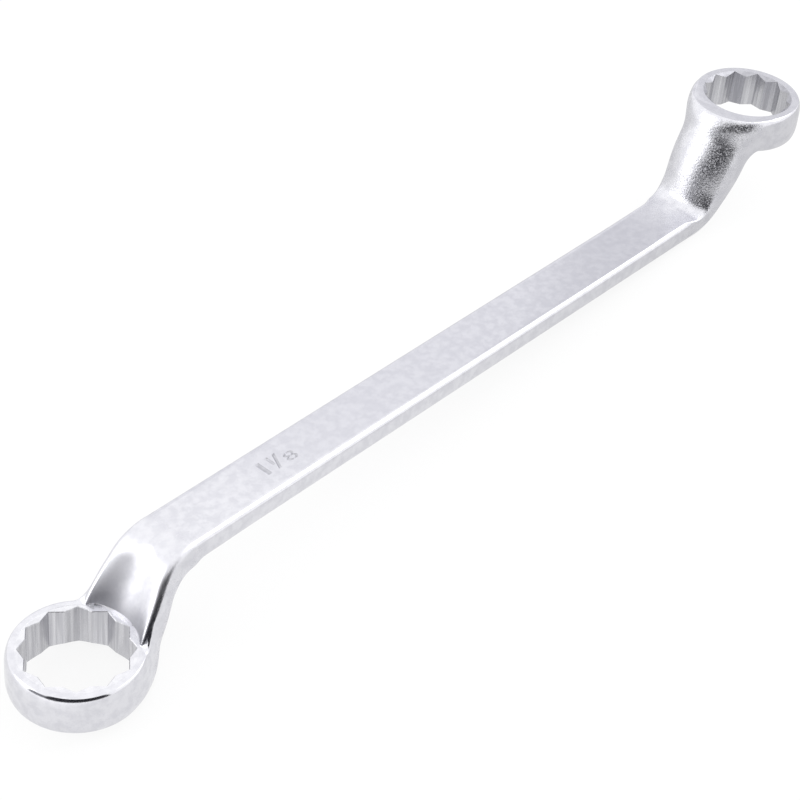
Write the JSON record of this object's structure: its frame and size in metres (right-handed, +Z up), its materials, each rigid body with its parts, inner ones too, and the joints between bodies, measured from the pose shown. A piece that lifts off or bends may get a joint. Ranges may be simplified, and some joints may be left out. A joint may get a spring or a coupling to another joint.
{
  "type": "ring spanner",
  "caption": "Double-ended ring spanner, deep cranked both ways, with a twelve-point ring for a hexagon nut at each end of a flat shank.",
  "frame": {"origin": "bottom centre of the box of the spanner as it lies on a table, on the near ring's lower edge and the underside of the far bend", "axes": "+X from the near (larger) ring to the far (smaller) ring, +Y across the shank, +Z up; the shank and both ring axes lean 6.3 degrees about Y, because the spanner lies that way"},
  "size_m": [0.3604, 0.0402, 0.0384],
  "materials": {
    "satin_chromed_steel": "satin chrome plate on drop-forged chrome-vanadium steel; faces and bores machined"
  },
  "bodies": {
    "root": {"spanner_body": "satin_chromed_steel"}
  },
  "joints": []
}
